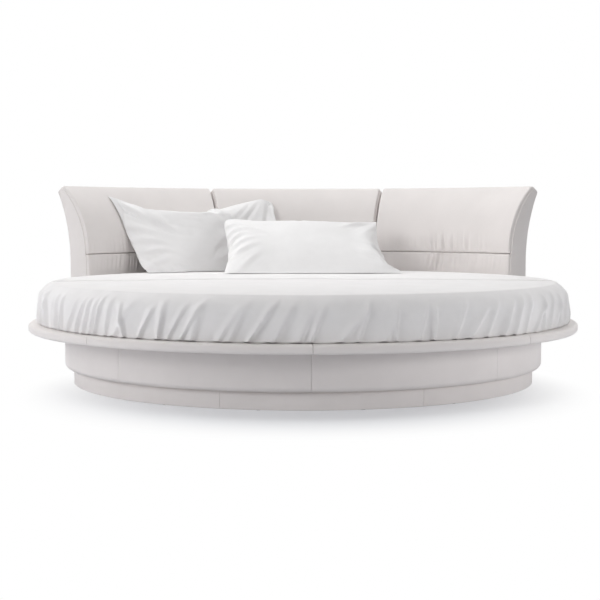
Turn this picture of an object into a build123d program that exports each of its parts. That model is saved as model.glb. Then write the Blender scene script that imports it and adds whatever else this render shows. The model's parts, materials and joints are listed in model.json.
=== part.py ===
from build123d import *
import math
import os

# A round bed: a recessed plinth, a clad drum and a wider ring ledge carry a round mattress, and
# three curved, outward-flaring headboard sections stand round the back of it.
# Millimetres. +Z is up, -Y is the foot of the bed, and the origin is on the floor under the middle.

# Fits shared by all pieces
fit = 0.3  # clearance between neighbouring pieces
overrun = 60.0  # how far a cutting body runs past what it cuts

# Panels: each wall is made of the same number of panels, with a seam at the foot of the bed
panel_count = 8
panel_seam = 1.5  # width of the dark line between two panels
foot_angle = -90.0  # degrees, where the foot of the bed lies

# Plinth
toe_recess = 36.0  # how far the plinth stands in from the drum
plinth_wall = 24.0
plinth_height = 68.0
plinth_seam_turn = 25.25  # degrees from the foot seam to the nearest plinth seam

# Drum
ledge_overhang = 147.0  # how far the ring stands out from the drum
drum_wall = 30.0
drum_height = 150.0
drum_padded_edge = 22.0  # radius of the padded lower edge

# Ring ledge
ring_radius = 1150.0
ring_width = 250.0
ring_thickness = 35.0
ring_padded_edge = 12.0

# Floor glides
glide_radius = 9.0
glide_height = 4.0

# Plywood hoops, sawn in segments that are joined halfway along each panel
hoop_thickness = 18.0
hoop_width = 150.0
hoop_joint = 0.6  # glue line between two segments

# Upright ribs between the hoops, and glue blocks behind the plinth
rib_count = 16
rib_thickness = 18.0
rib_depth = 120.0
block_size = 40.0
block_height = 48.0

# Steel plates under the joints of the upper hoop
plate_length = 110.0
plate_width = 90.0
plate_thickness = 4.0

# Wood screws
screw_shank_radius = 2.5
screw_head_radius = 5.5
screw_head_height = 3.0
screw_reach = 12.0  # how far a screw goes into the far piece
ring_screw_turn = 5.0  # degrees from a panel seam to its ring screw

# Beams and centre leg
beam_width = 60.0
beam_bearing = 76.0  # length of the beam's tongue under the hoop
leg_width = 54.0
foot_radius = 38.0
foot_height = 12.0

# Slats and their holders
slat_width = 68.0
slat_thickness = 12.0
slat_pitch = 105.0
shortest_slat_reach = 300.0  # least reach from the long beam's middle to a slat's outer holder
holder_wall = 4.0
holder_floor = 15.0
outer_holder_length = 52.0
outer_pocket_depth = 38.0
centre_pocket_depth = 20.0
holder_edge_gap = 4.0  # from a holder's corner to the ring's inner edge

# Headboard sections
section_count = 3
section_angle = 40.0  # degrees each section takes round the bed
section_gap = 7.0
section_top = 832.0
section_glide_height = 10.0
headboard_depth = 100.0  # from the ring's edge to the outside of the straight lower back
flare_start = 480.0  # height where the back starts to flare
flare_radius = 787.0
back_wall = 14.0
cheek_wall = 12.0
core_thickness = 18.0
crest_depth = 33.0  # from the highest point of the front to the back edge of the top
crest_drop = 30.0  # from the top down to the back seam
crest_swell = 10.0  # how far the rolled top stands out from a straight line
front_bow = 36.0  # how far the upper front bows towards the bed from a straight line
tuck_height = 512.0
tuck_width = 8.0
tuck_edge = 9.0  # radius where each pad turns into the tuck
pad_swell = 5.0  # how far the pads stand proud of the cheeks
lower_pad_crown = 5.0
lower_pad_gap = 6.0  # from the ledge up to the lower pad
section_corner = 25.0

# Brackets that hold the headboard to the ledge
bracket_width = 60.0
bracket_thickness = 6.0
bracket_arm = 110.0
bracket_drop = 120.0
bracket_turn = 12.0  # degrees each side of a section's middle
bracket_bolt_inset = 30.0
bracket_bolt_radius = 4.0
bracket_bolt_head_radius = 7.0
bracket_bolt_head_height = 4.0
bracket_bolt_reach = 11.0  # how far a bolt goes into the ledge or the core

# Mattress and sheet
ledge_show = 50.0  # width of the ledge that shows round the mattress
mattress_side = 90.0  # height of its upright side
mattress_height = 171.0
shoulder_width = 45.0
crown_rise = 13.0
sheet_thickness = 3.0
fold_count = 72
fold_depth = 5.0
fold_slant = 2.5  # degrees a fold leans between the hem and the shoulder
hem_flare = 5.0
mid_fold_height_share = 0.5
mid_fold_depth_share = 0.7

# Pillows: half of each section across, as shares of the pillow's own half sizes
pillow_length = 770.0
pillow_width = 500.0
pillow_thickness = 140.0
case_thickness = 2.0
pillow_station_shares = (-1.0, -0.86, -0.6, 0.0, 0.6, 0.86, 1.0)
pillow_width_shares = (1.0, 0.94, 0.9, 0.89, 0.9, 0.94, 1.0)
pillow_crown_shares = (0.06, 0.42, 0.82, 1.0, 0.82, 0.42, 0.06)
back_pillow_across = -470.0
back_pillow_inset = 250.0  # from the mattress's edge to the pillow's middle, before it settles
back_pillow_lean = 52.0
back_pillow_turn = 25.0
front_pillow_across = 24.0
front_pillow_inset = 500.0
front_pillow_lean = 24.5
front_pillow_turn = 4.0
settling_moves = 12

# Radii that follow the ring's
drum_radius = ring_radius - ledge_overhang
plinth_radius = drum_radius - toe_recess
mattress_radius = ring_radius - ledge_show
front_radius = ring_radius  # the headboard's cheeks stand over the ring's edge
back_radius = ring_radius + headboard_depth

# Levels and other sizes worked out from those above
drum_bottom = plinth_height
ledge_bottom = drum_bottom + drum_height
ledge_top = ledge_bottom + ring_thickness
hoop_outer = drum_radius - drum_wall - fit
hoop_inner = hoop_outer - hoop_width
lower_hoop_top = drum_bottom + hoop_thickness
upper_hoop_bottom = ledge_bottom - hoop_thickness
panel_angle = 360.0 / panel_count
half_section = section_angle / 2
half_holder = slat_width / 2 + fit + holder_wall
slat_field_radius = ring_radius - ring_width - holder_edge_gap


def at_angle(angle, radius=0.0, height=0.0):
    """A place on the plan, turned so that its own X points away from the middle."""
    a = math.radians(angle)
    return Location((radius * math.cos(a), radius * math.sin(a), height), (0, 0, angle))


def spun(profile_edges, angle, start=0.0):
    """A closed outline in radius and height, swept round the bed's upright axis."""
    face = Plane.XZ * Face(Wire(profile_edges))
    return Rot(0, 0, start) * revolve(face, Axis.Z, angle)


def loop(*points):
    """Straight edges through the points and back to the first."""
    return [Line(a, b) for a, b in zip(points, points[1:] + points[:1])]


def arc_panel(inner, outer, bottom, top, start, angle, seam):
    """A plain upright board bent round the axis, trimmed to leave half a seam at each end."""
    edges = loop((inner, bottom), (outer, bottom), (outer, top), (inner, top))
    return trim_ends(spun(edges, angle, start), start, angle, seam / 2)


def end_zone(angle, side, depth, reach, low, high):
    """The space within a distance of an upright plane through the axis, on one side of it."""
    width = depth + overrun
    box = Box(reach, width, high - low, align=(Align.MIN, Align.MIN, Align.MIN))
    shift = -overrun if side > 0 else -depth
    return at_angle(angle) * Pos(0, shift, low) * box


def trim_ends(solid, start, angle, depth):
    """Takes the same width off both ends of a piece that spans an angle."""
    box = solid.bounding_box()
    reach = ring_radius + back_radius
    low = box.min.Z - overrun
    high = box.max.Z + overrun
    solid = solid - end_zone(start, 1, depth, reach, low, high)
    return solid - end_zone(start + angle, -1, depth, reach, low, high)


def rounded_outside(inner, outer, bottom, top, low_edge, high_edge):
    """An upright or flat band whose outer corners are rounded."""
    half_low = low_edge * (1 - math.sqrt(0.5))
    half_high = high_edge * (1 - math.sqrt(0.5))
    edges = [Line((inner, top), (inner, bottom)), Line((inner, bottom), (outer - low_edge, bottom))]
    if low_edge:
        middle = (outer - half_low, bottom + half_low)
        edges += [ThreePointArc((outer - low_edge, bottom), middle, (outer, bottom + low_edge))]
    edges += [Line((outer, bottom + low_edge), (outer, top - high_edge))]
    if high_edge:
        middle = (outer - half_high, top - half_high)
        edges += [ThreePointArc((outer, top - high_edge), middle, (outer - high_edge, top))]
    return edges + [Line((outer - high_edge, top), (inner, top))]


def panel_start(index, turn=0.0):
    return foot_angle + turn + index * panel_angle


def rib_angles():
    pitch = 360.0 / rib_count
    return [pitch * (i + 1 / 2) for i in range(rib_count)]


def screw(length, shank, head, head_height):
    """A screw that stands on its head, shank up, with the head's top at its own zero."""
    body = Cylinder(shank, length, align=(Align.CENTER, Align.CENTER, Align.MIN))
    cap = Cylinder(head, head_height, align=(Align.CENTER, Align.CENTER, Align.MAX))
    return body + cap


def screw_hole(length, shank):
    return Cylinder(shank + fit, length + fit, align=(Align.CENTER, Align.CENTER, Align.MIN))


def cut(solid, tools):
    for tool in tools:
        solid = solid - tool
    return solid


def group(solids):
    return Compound(children=[s.solid() for s in solids])


def ring_screw_places():
    """Two screws in each ring segment, up through the upper hoop."""
    radius = (hoop_outer + ring_radius - ring_width) / 2
    places = []
    for i in range(panel_count):
        for turn in (ring_screw_turn, panel_angle - ring_screw_turn):
            places.append(at_angle(panel_start(i) + turn, radius, upper_hoop_bottom))
    return places


def plate_places():
    """A plate under each joint of the upper hoop, halfway along a panel."""
    radius = (hoop_inner + hoop_outer) / 2
    return [at_angle(panel_start(i) + panel_angle / 2, radius, upper_hoop_bottom) for i in range(panel_count)]


def plate_screw_places():
    """Four screws in each plate, on the plate's lower face."""
    places = []
    for place in plate_places():
        for across in (-plate_width / 3, plate_width / 3):
            for along in (-plate_length / 3, plate_length / 3):
                places.append(place * Pos(across, along, -plate_thickness))
    return places


# Plinth, drum and ring


def plinth_panel(index):
    bottom = glide_height
    start = panel_start(index, plinth_seam_turn)
    inner = plinth_radius - plinth_wall
    return arc_panel(inner, plinth_radius, bottom, plinth_height, start, panel_angle, panel_seam)


def drum_panel(index):
    inner = drum_radius - drum_wall
    edges = rounded_outside(inner, drum_radius, drum_bottom, ledge_bottom, drum_padded_edge, 0)
    start = panel_start(index)
    return trim_ends(spun(edges, panel_angle, start), start, panel_angle, panel_seam / 2)


def ring_segment(index):
    inner = ring_radius - ring_width
    edges = rounded_outside(inner, ring_radius, ledge_bottom, ledge_top, ring_padded_edge, ring_padded_edge)
    start = panel_start(index)
    segment = trim_ends(spun(edges, panel_angle, start), start, panel_angle, panel_seam / 2)
    hole = screw_hole(hoop_thickness + screw_reach, screw_shank_radius)
    screws = [place * hole for place in ring_screw_places()[2 * index : 2 * index + 2]]
    bolts = [place * hole for place in bracket_places() for hole in arm_bolt_holes()]
    return cut(segment, screws + bolts)


# Inner frame


def hoop_segments(bottom, holes):
    segments = []
    for i in range(panel_count):
        start = panel_start(i) + panel_angle / 2
        top = bottom + hoop_thickness
        segment = arc_panel(hoop_inner, hoop_outer, bottom, top, start, panel_angle, hoop_joint)
        segments.append(cut(segment, holes))
    return group(segments)


def lower_hoop():
    return hoop_segments(drum_bottom, [])


def upper_hoop():
    ring_holes = [p * screw_hole(hoop_thickness + screw_reach, screw_shank_radius) for p in ring_screw_places()]
    length = plate_thickness + screw_reach
    plate_holes = [p * screw_hole(length, screw_shank_radius) for p in plate_screw_places()]
    return hoop_segments(upper_hoop_bottom, ring_holes + plate_holes)


def upright_ribs():
    height = upper_hoop_bottom - lower_hoop_top
    board = Box(rib_depth, rib_thickness, height, align=(Align.MAX, Align.CENTER, Align.MIN))
    return group([at_angle(a, hoop_outer - fit, lower_hoop_top) * board for a in rib_angles()])


def plinth_blocks():
    block = Box(block_size, block_size, block_height, align=(Align.MAX, Align.CENTER, Align.MAX))
    radius = math.sqrt((plinth_radius - plinth_wall) ** 2 - (block_size / 2) ** 2) - fit
    return group([at_angle(a, radius, drum_bottom) * block for a in rib_angles()])


def joint_plates():
    plate = Box(plate_width, plate_length, plate_thickness, align=(Align.CENTER, Align.CENTER, Align.MAX))
    plates = []
    hole = screw_hole(plate_thickness + screw_reach, screw_shank_radius)
    for i, place in enumerate(plate_places()):
        holes = [spot * hole for spot in plate_screw_places()[4 * i : 4 * i + 4]]
        plates.append(cut(place * plate, holes))
    return group(plates)


def plate_screws():
    shape = screw(plate_thickness + screw_reach, screw_shank_radius, screw_head_radius, screw_head_height)
    return group([place * shape for place in plate_screw_places()])


def ring_screws():
    shape = screw(hoop_thickness + screw_reach, screw_shank_radius, screw_head_radius, screw_head_height)
    return group([place * shape for place in ring_screw_places()])


def beam(halved_from_top):
    """A deep timber with a tongue under the upper hoop at each end, halved at its middle."""
    depth = ledge_bottom - lower_hoop_top
    half_body = math.sqrt(hoop_inner**2 - (beam_width / 2) ** 2) - fit
    body = Box(2 * half_body, beam_width, depth, align=(Align.CENTER, Align.CENTER, Align.MIN))
    tongue_size = (2 * (hoop_inner + beam_bearing), beam_width, depth - hoop_thickness)
    tongue = Box(*tongue_size, align=(Align.CENTER, Align.CENTER, Align.MIN))
    notch_width = beam_width + 2 * fit
    notch = Box(notch_width, beam_width + overrun, depth, align=(Align.CENTER, Align.CENTER, Align.MIN))
    shift = depth / 2 if halved_from_top else -depth / 2
    return Pos(0, 0, lower_hoop_top) * (body + tongue - Pos(0, 0, shift) * notch)


def long_beam():
    return Rot(0, 0, foot_angle) * beam(True)


def cross_beam():
    return beam(False)


def centre_leg():
    height = lower_hoop_top - foot_height
    post = Box(leg_width, leg_width, height, align=(Align.CENTER, Align.CENTER, Align.MIN))
    return Pos(0, 0, foot_height) * post


def centre_foot():
    disc = Cylinder(foot_radius, foot_height, align=(Align.CENTER, Align.CENTER, Align.MIN))
    return chamfer(disc.edges().group_by(Axis.Z)[-1], foot_height / 4)


def floor_glides():
    """Round glides under the plinth panels and under the headboard sections."""
    align = (Align.CENTER, Align.CENTER, Align.MIN)
    low = Cylinder(glide_radius, glide_height, align=align)
    tall = Cylinder(glide_radius, section_glide_height, align=align)
    radius = plinth_radius - plinth_wall / 2
    places = [at_angle(a, radius) * low for a in rib_angles()]
    core_middle = back_radius - back_wall - core_thickness / 2
    for middle in section_middles():
        places += [at_angle(middle + turn, core_middle) * tall for turn in (-bracket_turn, bracket_turn)]
    return group(places)


def slat_rows():
    """The slats' middles along the bed, as far out as a slat of the shortest reach still fits."""
    furthest = math.sqrt(slat_field_radius**2 - shortest_slat_reach**2) - half_holder
    each_way = int(furthest / slat_pitch)
    return [slat_pitch * i for i in range(-each_way, each_way + 1)]


def holder_outer_end(row):
    """How far out a slat's outer holder reaches, so that its corner stays inside the ring."""
    return math.sqrt(slat_field_radius**2 - (abs(row) + half_holder) ** 2)


def slats(side):
    bottom = ledge_bottom + holder_floor
    pieces = []
    for row in slat_rows():
        inner = beam_width / 2 - centre_pocket_depth + fit
        outer = holder_outer_end(row) - outer_holder_length + outer_pocket_depth - fit
        board = Box(outer - inner, slat_width, slat_thickness, align=(Align.MIN, Align.CENTER, Align.MIN))
        pieces.append(Rot(0, 0, 0 if side > 0 else 180) * Pos(inner, side * row, bottom) * board)
    return group(pieces)


def holder(length, pockets):
    """A moulded block on the frame with a pocket that a slat's end slides into."""
    block = Box(length, 2 * half_holder, ring_thickness, align=(Align.CENTER, Align.CENTER, Align.MIN))
    gap = (slat_width + 2 * fit, slat_thickness + 2 * fit)
    for side, depth in pockets:
        pocket = Box(depth + overrun, *gap, align=(Align.MIN, Align.CENTER, Align.MIN))
        inward = Pos(length / 2 - depth, 0, holder_floor - fit) * pocket
        block = block - Rot(0, 0, 0 if side > 0 else 180) * inward
    return block


def outer_slat_holders():
    block = holder(outer_holder_length, [(-1, outer_pocket_depth)])
    pieces = []
    for row in slat_rows():
        middle = holder_outer_end(row) - outer_holder_length / 2
        pieces.append(Pos(middle, row, ledge_bottom) * block)
        pieces.append(Pos(-middle, row, ledge_bottom) * Rot(0, 0, 180) * block)
    return group(pieces)


def centre_slat_holders():
    block = holder(beam_width, [(1, centre_pocket_depth), (-1, centre_pocket_depth)])
    return group([Pos(0, row, ledge_bottom) * block for row in slat_rows()])


# Headboard


def section_middles():
    first = -foot_angle - section_angle * (section_count - 1) / 2
    return [first + section_angle * i for i in range(section_count)]


def back_line(depth, height):
    """Radius of the headboard's back at a height, a depth in from its outside."""
    if height <= flare_start:
        return back_radius - depth
    rise = height - flare_start
    return back_radius + flare_radius - math.sqrt((flare_radius + depth) ** 2 - rise**2)


def back_edges(depth, low, high):
    """The straight and flared edges of the back, upwards."""
    knee = max(low, flare_start)
    middle = (knee + high) / 2
    places = [(back_line(depth, height), height) for height in (knee, middle, high)]
    straight = [Line((back_line(depth, low), low), places[0])] if low < knee else []
    return straight + [ThreePointArc(*places)]


def board_outline(outside, inside, low, high):
    """A bent board that follows the back between two depths."""
    outer = back_edges(outside, low, high)
    inner = back_edges(inside, low, high)
    foot = Line((back_line(outside, low), low), (back_line(inside, low), low))
    head = Line((back_line(outside, high), high), (back_line(inside, high), high))
    return outer + inner + [foot, head]


def crest():
    """The front and back ends of the rolled top, and the point that its curve passes."""
    seam = (back_line(0, section_top - crest_drop), section_top - crest_drop)
    front = (seam[0] - crest_depth, section_top)
    span = math.hypot(crest_depth, crest_drop)
    out = (crest_drop / span * crest_swell, crest_depth / span * crest_swell)
    middle = ((seam[0] + front[0]) / 2 + out[0], (seam[1] + front[1]) / 2 + out[1])
    return front, middle, seam


def front_arc(proud):
    """The hollow upper front from the crest down to the tuck."""
    top, _, _ = crest()
    foot = (front_radius - proud, tuck_height)
    run = (top[0] - foot[0], top[1] - foot[1])
    span = math.hypot(*run)
    back = (run[1] / span * (front_bow + proud), -run[0] / span * (front_bow + proud))
    middle = ((top[0] + foot[0]) / 2 - back[0], (top[1] + foot[1]) / 2 - back[1])
    return top, middle, foot


def cheek_outline():
    """The whole section seen from its end."""
    low = section_glide_height
    front, middle, seam = crest()
    top, hollow, foot = front_arc(0)
    ledge = ledge_top + lower_pad_gap
    board_front = back_line(back_wall + core_thickness, low)
    edges = back_edges(0, low, seam[1]) + [ThreePointArc(seam, middle, front)]
    edges += [ThreePointArc(top, hollow, foot), Line(foot, (foot[0], ledge))]
    edges += [Line((foot[0], ledge), (board_front, ledge)), Line((board_front, ledge), (board_front, low))]
    return edges + [Line((board_front, low), (back_line(0, low), low))]


def section_start(index):
    return section_middles()[index] - half_section


def corner_cutters(index):
    """Rounds the two upper corners of a section, as seen from the bed."""
    start = section_start(index)
    cutters = []
    reach = 2 * section_corner + overrun
    for angle, side in ((start, 1), (start + section_angle, -1)):
        inset = side * (section_gap / 2 + section_corner)
        length = back_radius + ring_radius
        box = Box(length, reach, reach, align=(Align.MIN, Align.MAX if side > 0 else Align.MIN, Align.MIN))
        place = at_angle(angle) * Pos(0, inset, section_top - section_corner)
        roll = Cylinder(section_corner, length, rotation=(0, 90, 0), align=(Align.CENTER, Align.CENTER, Align.MIN))
        cutters.append(place * (box - roll))
    return cutters


def section_trim(solid, index, depth):
    return trim_ends(solid, section_start(index), section_angle, section_gap / 2 + depth)


def headboard_shell(index):
    """The leather-clad back with a flat cheek at each end."""
    start = section_start(index)
    whole = section_trim(spun(cheek_outline(), section_angle, start), index, 0)
    inside = section_trim(spun(cheek_outline(), section_angle, start), index, cheek_wall)
    cheeks = whole - inside
    top = crest()[2][1] - fit
    back = section_trim(spun(board_outline(0, back_wall, section_glide_height, top), section_angle, start), index, 0)
    return cut(cheeks + back, corner_cutters(index))


def headboard_core(index):
    """The bent plywood board between the back and the pads."""
    outline = board_outline(back_wall + fit, back_wall + core_thickness, section_glide_height, crest()[2][1] - fit)
    board = section_trim(spun(outline, section_angle, section_start(index)), index, cheek_wall + fit)
    return cut(board, [place * hole for place in bracket_places() for hole in drop_bolt_holes()])


def upper_pad(index):
    front, middle, seam = crest()
    top, hollow, foot = front_arc(pad_swell)
    depth = back_wall + core_thickness + fit
    low = tuck_height + tuck_width / 2
    inner = back_edges(depth, low, seam[1])
    edges = [ThreePointArc(seam, middle, front), ThreePointArc(top, hollow, foot)]
    edges += inner + [Line((back_line(depth, seam[1]), seam[1]), seam)]
    edges += [Line(foot, (foot[0], low)), Line((foot[0], low), (back_line(depth, low), low))]
    pad = section_trim(spun(edges, section_angle, section_start(index)), index, cheek_wall + fit)
    return cut(pad, corner_cutters(index))


def lower_pad(index):
    high = tuck_height - tuck_width / 2
    low = ledge_top + lower_pad_gap
    face = front_radius - pad_swell
    back = back_line(back_wall + core_thickness + fit, low)
    crown = (face - lower_pad_crown, (low + high) / 2)
    turn = tuck_edge * (1 - math.sqrt(1 / 2))
    edges = [Line((back, low), (back, high)), Line((back, high), (face + tuck_edge, high))]
    edges += [ThreePointArc((face + tuck_edge, high), (face + turn, high - turn), (face, high - tuck_edge))]
    edges += [ThreePointArc((face, high - tuck_edge), crown, (face, low)), Line((face, low), (back, low))]
    return section_trim(spun(edges, section_angle, section_start(index)), index, cheek_wall + fit)


def bracket_places():
    """Where each angle bracket's corner lies: under the ledge, against the headboard's core."""
    flat = back_radius - back_wall - core_thickness
    radius = math.sqrt(flat**2 - (bracket_width / 2) ** 2) - fit
    places = []
    for middle in section_middles():
        places += [at_angle(middle + turn, radius, ledge_bottom) for turn in (-bracket_turn, bracket_turn)]
    return places


def arm_bolt_places():
    """Two bolts up through the bracket's arm into the ledge."""
    first = back_radius - back_wall - core_thickness - ring_radius + bracket_bolt_inset
    return [Pos(-first - bracket_bolt_inset * i, 0, -bracket_thickness) for i in (0, 1.5)]


def drop_bolt_places():
    """Two bolts through the bracket's drop into the core."""
    heights = (bracket_drop - bracket_bolt_inset, bracket_bolt_inset)
    return [Pos(-bracket_thickness, 0, -h) * Rot(0, 90, 0) for h in heights]


def bracket_bolt():
    length = bracket_thickness + bracket_bolt_reach
    return screw(length, bracket_bolt_radius, bracket_bolt_head_radius, bracket_bolt_head_height)


def bracket_bolt_hole():
    return screw_hole(bracket_thickness + bracket_bolt_reach, bracket_bolt_radius)


def arm_bolt_holes():
    return [p * bracket_bolt_hole() for p in arm_bolt_places()]


def drop_bolt_holes():
    return [p * bracket_bolt_hole() for p in drop_bolt_places()]


def headboard_brackets():
    reach = back_radius - back_wall - core_thickness - ring_radius + bracket_arm
    arm = Box(reach, bracket_width, bracket_thickness, align=(Align.MAX, Align.CENTER, Align.MAX))
    drop = Box(bracket_thickness, bracket_width, bracket_drop, align=(Align.MAX, Align.CENTER, Align.MAX))
    angle = arm + drop
    angle = cut(angle, arm_bolt_holes() + drop_bolt_holes())
    return group([place * angle for place in bracket_places()])


def bracket_bolts():
    pieces = []
    for place in bracket_places():
        pieces += [place * bolt * bracket_bolt() for bolt in arm_bolt_places() + drop_bolt_places()]
    return group(pieces)


# Mattress and sheet


def dome_edges(radius, grow, bottom, knee, top):
    """Half of the mattress's outline: an upright side, a round shoulder and a low crown."""
    side = radius + grow
    peak = top + grow
    start = (side - shoulder_width, peak - crown_rise)
    lean = (side - shoulder_width * (1 - math.sqrt(0.5)), knee + (start[1] - knee) * math.sqrt(0.5))
    globe = (start[0] ** 2 + crown_rise**2) / (2 * crown_rise)
    swell = (start[0] / 2, peak - globe + math.sqrt(globe**2 - (start[0] / 2) ** 2))
    edges = [Line((0, bottom), (side, bottom)), Line((side, bottom), (side, knee))]
    edges += [ThreePointArc((side, knee), lean, start), ThreePointArc(start, swell, (0, peak))]
    return edges + [Line((0, peak), (0, bottom))]


def mattress_level():
    bottom = ledge_top + fit
    return bottom, bottom + mattress_side, bottom + mattress_height


def mattress_core():
    bottom, knee, top = mattress_level()
    return spun(dome_edges(mattress_radius, 0, bottom, knee, top), 360)


def fold_line(radius, depth, height, turn):
    """A closed line of small in and out curves round the mattress."""
    step = 2 * math.pi / (2 * fold_count)
    lean = math.radians(turn)
    edges = []
    for i in range(2 * fold_count):
        middle_radius = radius + (depth if i % 2 == 0 else -depth)
        points = []
        for r, a in ((radius, i), (middle_radius, i + 1 / 2), (radius, i + 1)):
            points.append((r * math.cos(a * step + lean), r * math.sin(a * step + lean), height))
        edges.append(ThreePointArc(*points))
    return Face(Wire(edges))


def fitted_sheet():
    """The sheet over the core: gathered folds down the side, smooth over the shoulder and top."""
    bottom, knee, top = mattress_level()
    cover = sheet_thickness + fit
    wall = mattress_radius + cover + fold_depth
    middle = bottom + fit + (knee - bottom) * mid_fold_height_share
    hem = fold_line(wall + hem_flare, fold_depth, bottom + fit, 0)
    waist = fold_line(wall, fold_depth * mid_fold_depth_share, middle, fold_slant / 2)
    shoulder = fold_line(mattress_radius + cover, 0, knee, fold_slant)
    skirt = loft([hem, waist, shoulder], ruled=True)
    cap = spun(dome_edges(mattress_radius, cover, knee - fit, knee, top), 360)
    hollow = spun(dome_edges(mattress_radius, fit, bottom - overrun, knee, top), 360)
    return skirt + cap - hollow


# Pillows


def lens(station, half_width, half_crown):
    """A section across a pillow: two shallow curves that meet at the side seams."""
    left = (station, -half_width, 0)
    right = (station, half_width, 0)
    upper = ThreePointArc(left, (station, 0, half_crown), right)
    lower = ThreePointArc(right, (station, 0, -half_crown), left)
    return Face(Wire([upper, lower]))


def pillow_form(inset):
    """Crowned in the middle and thin at the seams, with the long sides drawn in."""
    faces = []
    stations = zip(pillow_station_shares, pillow_width_shares, pillow_crown_shares)
    for station, width, crown in stations:
        along = station * (pillow_length / 2 - 3 * inset)
        across = width * (pillow_width / 2 - 3 * inset)
        thick = crown * (pillow_thickness / 2 - inset)
        faces.append(lens(along, across, thick))
    return loft(faces)


def brought_up(place, direction, supports):
    """Moves a pillow along a direction until it lies a fit away from the nearest support."""
    form = pillow_form(0)
    x, y, z = direction
    for _ in range(settling_moves):
        gap = min((place * form).distance_to(support) for support in supports) - fit
        place = Pos(x * gap, y * gap, z * gap) * place
    return place


def settled(place, turn, backing):
    """Lowers a pillow to the sheet, slides it up the bed to its backing, and lowers it again."""
    bottom, knee, top = mattress_level()
    bed_top = [spun(dome_edges(mattress_radius, sheet_thickness + fit, bottom, knee, top), 360)]
    a = math.radians(turn)
    place = brought_up(place, (0, 0, -1), bed_top)
    place = brought_up(place, (-math.sin(a), math.cos(a), 0), backing)
    return brought_up(place, (0, 0, -1), bed_top + backing)


def back_pillow_place():
    up = ledge_top + mattress_height + pillow_width
    place = Pos(back_pillow_across, mattress_radius - back_pillow_inset, up) * Rot(0, 0, back_pillow_turn)
    place = place * Rot(back_pillow_lean, 0, 0)
    return settled(place, back_pillow_turn, [upper_pad(section_count - 1)])


def front_pillow_place(back_place):
    up = ledge_top + mattress_height + pillow_width
    place = Pos(front_pillow_across, mattress_radius - front_pillow_inset, up) * Rot(0, 0, front_pillow_turn)
    place = place * Rot(front_pillow_lean, 0, 0)
    return settled(place, 0, [back_place * pillow_form(0)])


def pillow_case(place):
    return place * (pillow_form(0) - pillow_form(case_thickness))


def pillow_fill(place):
    return place * pillow_form(case_thickness + fit)


def all_pieces():
    pieces = {}
    for i in range(panel_count):
        pieces[f"plinth_panel_{i + 1}"] = plinth_panel(i)
        pieces[f"drum_panel_{i + 1}"] = drum_panel(i)
        pieces[f"ring_segment_{i + 1}"] = ring_segment(i)
    pieces["lower_hoop"] = lower_hoop()
    pieces["upper_hoop"] = upper_hoop()
    pieces["upright_ribs"] = upright_ribs()
    pieces["plinth_blocks"] = plinth_blocks()
    pieces["joint_plates"] = joint_plates()
    pieces["plate_screws"] = plate_screws()
    pieces["ring_screws"] = ring_screws()
    pieces["long_beam"] = long_beam()
    pieces["cross_beam"] = cross_beam()
    pieces["centre_leg"] = centre_leg()
    pieces["centre_foot"] = centre_foot()
    pieces["floor_glides"] = floor_glides()
    pieces["slats_left"] = slats(-1)
    pieces["slats_right"] = slats(1)
    pieces["outer_slat_holders"] = outer_slat_holders()
    pieces["centre_slat_holders"] = centre_slat_holders()
    for i, side in enumerate(("right", "centre", "left")):
        pieces[f"headboard_shell_{side}"] = headboard_shell(i)
        pieces[f"headboard_core_{side}"] = headboard_core(i)
        pieces[f"upper_pad_{side}"] = upper_pad(i)
        pieces[f"lower_pad_{side}"] = lower_pad(i)
    pieces["headboard_brackets"] = headboard_brackets()
    pieces["bracket_bolts"] = bracket_bolts()
    pieces["mattress_core"] = mattress_core()
    pieces["fitted_sheet"] = fitted_sheet()
    back_place = back_pillow_place()
    front_place = front_pillow_place(back_place)
    pieces["back_pillow_case"] = pillow_case(back_place)
    pieces["back_pillow_fill"] = pillow_fill(back_place)
    pieces["front_pillow_case"] = pillow_case(front_place)
    pieces["front_pillow_fill"] = pillow_fill(front_place)
    return pieces


def main():
    os.makedirs("parts", exist_ok=True)
    for name, shape in all_pieces().items():
        export_step(shape, f"parts/{name}.step")
        print(name, len(shape.solids()), round(shape.volume))


if __name__ == "__main__":
    main()
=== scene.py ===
# %% [markdown]
# # A round bed with a three-part headboard
# The base is a drum of leather-clad panels on a recessed plinth, with a flat ring ledge on top.
# A round mattress in a gathered sheet lies on the ledge. Three padded, outward-flaring sections
# stand behind it, and two pillows lean on them. The engineering model gives every place and size,
# so this script only dresses it: each cell makes one kind of piece or one finish.

# %% The engineering frame
import json
import math
import random

import bmesh
import bpy
from mathutils import Matrix, Vector, noise


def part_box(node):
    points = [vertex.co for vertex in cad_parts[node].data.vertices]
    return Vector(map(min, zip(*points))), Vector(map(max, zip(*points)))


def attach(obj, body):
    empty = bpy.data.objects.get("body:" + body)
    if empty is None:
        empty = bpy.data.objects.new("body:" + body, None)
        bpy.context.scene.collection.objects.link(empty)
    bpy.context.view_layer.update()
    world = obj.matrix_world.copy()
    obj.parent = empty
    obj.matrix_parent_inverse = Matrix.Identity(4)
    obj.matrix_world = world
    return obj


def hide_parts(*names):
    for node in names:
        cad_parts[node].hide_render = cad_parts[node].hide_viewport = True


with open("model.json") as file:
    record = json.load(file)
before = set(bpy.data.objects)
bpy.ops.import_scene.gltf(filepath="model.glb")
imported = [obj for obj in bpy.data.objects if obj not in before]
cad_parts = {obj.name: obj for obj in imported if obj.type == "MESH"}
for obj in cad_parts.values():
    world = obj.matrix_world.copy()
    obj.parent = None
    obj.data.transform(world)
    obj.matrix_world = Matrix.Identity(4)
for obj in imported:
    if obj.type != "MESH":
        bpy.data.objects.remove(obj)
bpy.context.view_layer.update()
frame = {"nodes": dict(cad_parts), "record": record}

mm = 0.001

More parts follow.
